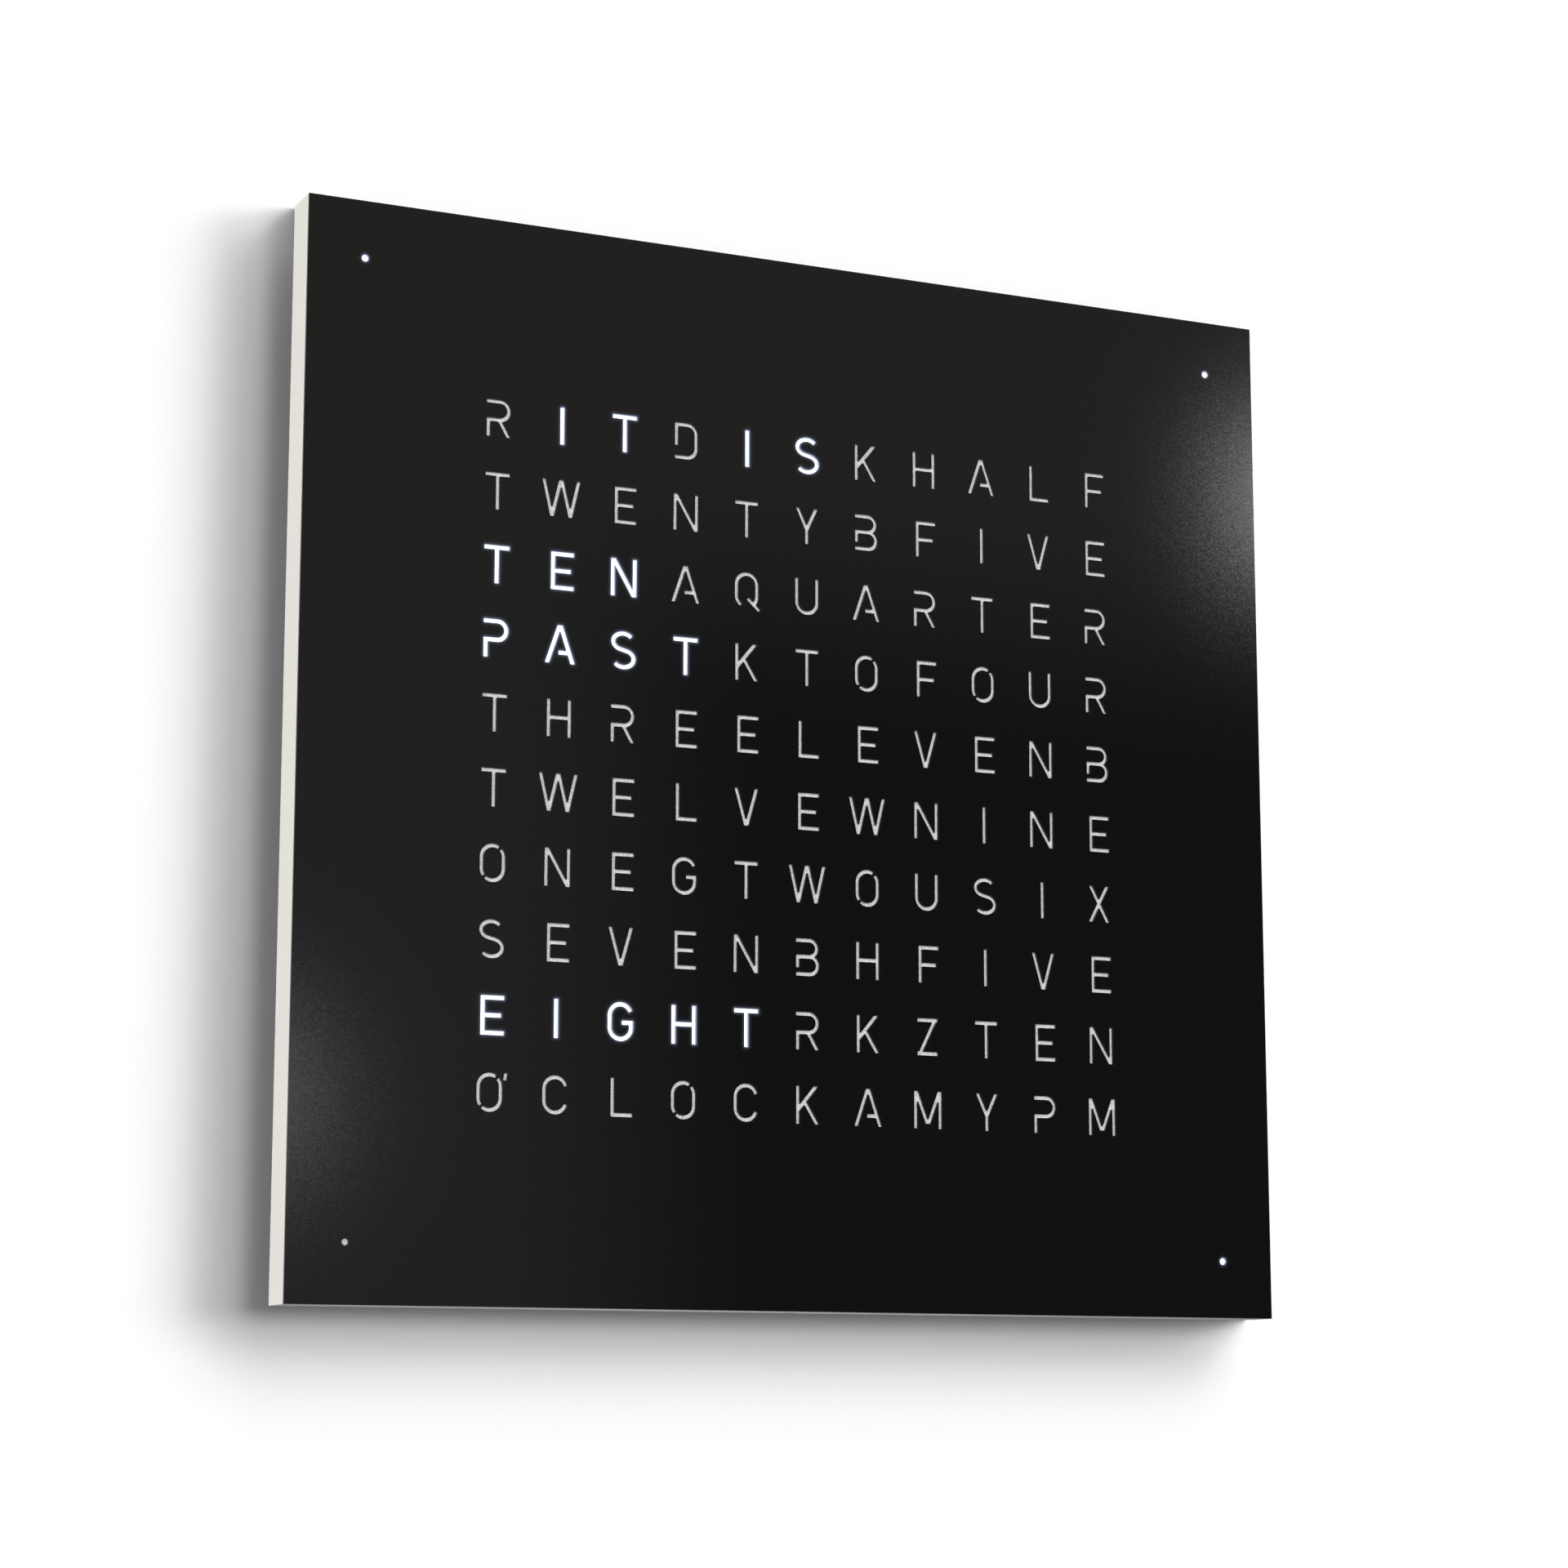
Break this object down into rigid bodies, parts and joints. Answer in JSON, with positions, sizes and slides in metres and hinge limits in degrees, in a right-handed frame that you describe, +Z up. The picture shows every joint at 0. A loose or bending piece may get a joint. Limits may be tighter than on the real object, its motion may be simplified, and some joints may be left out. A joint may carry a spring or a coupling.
{
  "type": "word clock",
  "caption": "Flat square wall clock with a lift-off black steel cover over a grid of lit letters, keyhole hangers and rear buttons.",
  "frame": {"origin": "centre of the back panel's outer face, which lies on the wall", "axes": "+Y towards the wall, the letters look along -Y, +Z up, +X to the right as seen from the front"},
  "size_m": [0.45, 0.02, 0.45],
  "materials": {
    "black_cover": "fine black powder coat on sheet steel",
    "white_lacquer": "matt off-white lacquer on milled fibreboard",
    "white_grid": "moulded white plastic",
    "opal": "opal acrylic",
    "white_board": "circuit board with white solder mask",
    "green_board": "circuit board with green solder mask",
    "led": "white LED package",
    "chip": "black epoxy package",
    "lead": "flat flexible lead",
    "rear_panel": "fine-grained charcoal sheet",
    "black_moulding": "black moulded plastic",
    "zinc_steel": "zinc-plated steel",
    "nickel": "nickel-plated magnet",
    "contact": "tinned brass",
    "cell": "stainless can",
    "button": "dark grey moulded cap"
  },
  "bodies": {
    "case": {"case_frame": "white_lacquer", "light_grid": "white_grid", "cover_magnets": "nickel", "letter_diffuser": "opal", "minute_diffusers": "opal", "light_board": "white_board", "letter_leds": "led", "led_drivers": "chip", "minute_boards": "white_board", "minute_leds": "led", "minute_leads": "lead", "control_board": "green_board", "control_chip": "chip", "backup_cell_holder": "black_moulding", "backup_cell": "cell", "board_link": "lead", "power_jack": "black_moulding", "jack_contact": "contact", "button_switches": "black_moulding", "back_panel": "rear_panel", "back_panel_screws": "zinc_steel", "plug_tray": "black_moulding", "keyhole_plate_left": "zinc_steel", "keyhole_plate_right": "zinc_steel"},
    "cover": {"front_cover": "black_cover", "cover_studs": "zinc_steel"},
    "mode": {"mode_button": "button", "mode_plunger": "contact"},
    "minus": {"minus_button": "button", "minus_plunger": "contact"},
    "plus": {"plus_button": "button", "plus_plunger": "contact"}
  },
  "joints": [
    {"name": "cover_lift", "type": "slide", "parent": "case", "child": "cover", "axis": [0, -1, 0], "range_m": [0, 0.03]},
    {"name": "mode_press", "type": "slide", "parent": "case", "child": "mode", "axis": [0, -1, 0], "range_m": [0, 0.0005], "stiffness_N_per_m": 400, "springref_m": -0.0005},
    {"name": "minus_press", "type": "slide", "parent": "case", "child": "minus", "axis": [0, -1, 0], "range_m": [0, 0.0005], "stiffness_N_per_m": 400, "springref_m": -0.0005},
    {"name": "plus_press", "type": "slide", "parent": "case", "child": "plus", "axis": [0, -1, 0], "range_m": [0, 0.0005], "stiffness_N_per_m": 400, "springref_m": -0.0005}
  ]
}
